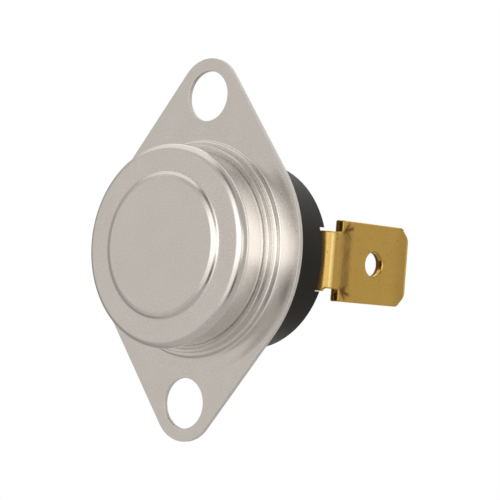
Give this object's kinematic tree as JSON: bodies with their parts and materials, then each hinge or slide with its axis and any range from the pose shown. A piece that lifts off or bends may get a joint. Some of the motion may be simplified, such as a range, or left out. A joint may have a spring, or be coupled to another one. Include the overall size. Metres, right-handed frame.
{
  "type": "rollout switch",
  "caption": "Round snap-disc rollout switch: drawn sensing cap, eared mounting flange, moulded base, push-on blade terminals and a reset button between them.",
  "frame": {"origin": "centre of the flange's front face, on the switch's axis", "axes": "+Y along the switch's axis to the rear, where the terminals are; the cap points to -Y; the two mounting holes lie along Z; the terminals stand side by side along X"},
  "size_m": [0.0204, 0.0208, 0.0296],
  "materials": {
    "cap_metal": "satin, drawn",
    "flange_steel": "satin plated sheet",
    "bimetal": "rolled",
    "guide_laminate": "matt",
    "pin_ceramic": "matt",
    "base_phenolic": "moulded",
    "terminal_brass": "stamped sheet",
    "rivet_brass": "headed",
    "spring_copper": "rolled",
    "contact_silver": "headed",
    "strip_brass": "stamped sheet",
    "button_plastic": "moulded"
  },
  "bodies": {
    "housing": {"sensor_cap": "cap_metal", "mounting_flange": "flange_steel", "pin_guide": "guide_laminate", "base_housing": "base_phenolic", "terminal_right": "terminal_brass", "terminal_left": "terminal_brass", "rivet_right": "rivet_brass", "rivet_left": "rivet_brass", "fixed_contact_plate": "strip_brass", "fixed_contact": "contact_silver"},
    "pin": {"transfer_pin": "pin_ceramic", "bimetal_disc": "bimetal"},
    "arm": {"contact_arm": "spring_copper", "moving_contact": "contact_silver"},
    "button": {"reset_button": "button_plastic"}
  },
  "joints": [
    {"name": "pin_slide", "type": "slide", "parent": "housing", "child": "pin", "axis": [0, 1, 0], "range_m": [0, 0.00042], "deforming": ["bimetal_disc"]},
    {"name": "arm_bend", "type": "hinge", "parent": "housing", "child": "arm", "pos_m": [-0.003, 0.0038, 0], "axis": [0, 0, 1], "range_deg": [0, 8.1], "deforming": ["contact_arm"]},
    {"name": "button_slide", "type": "slide", "parent": "housing", "child": "button", "axis": [0, 1, 0], "range_m": [0, 0.00042]}
  ],
  "couplings": [
    {"joint": "arm_bend", "follows": "pin_slide", "rad_per_m": 333.33},
    {"joint": "button_slide", "follows": "pin_slide", "ratio": 1}
  ]
}
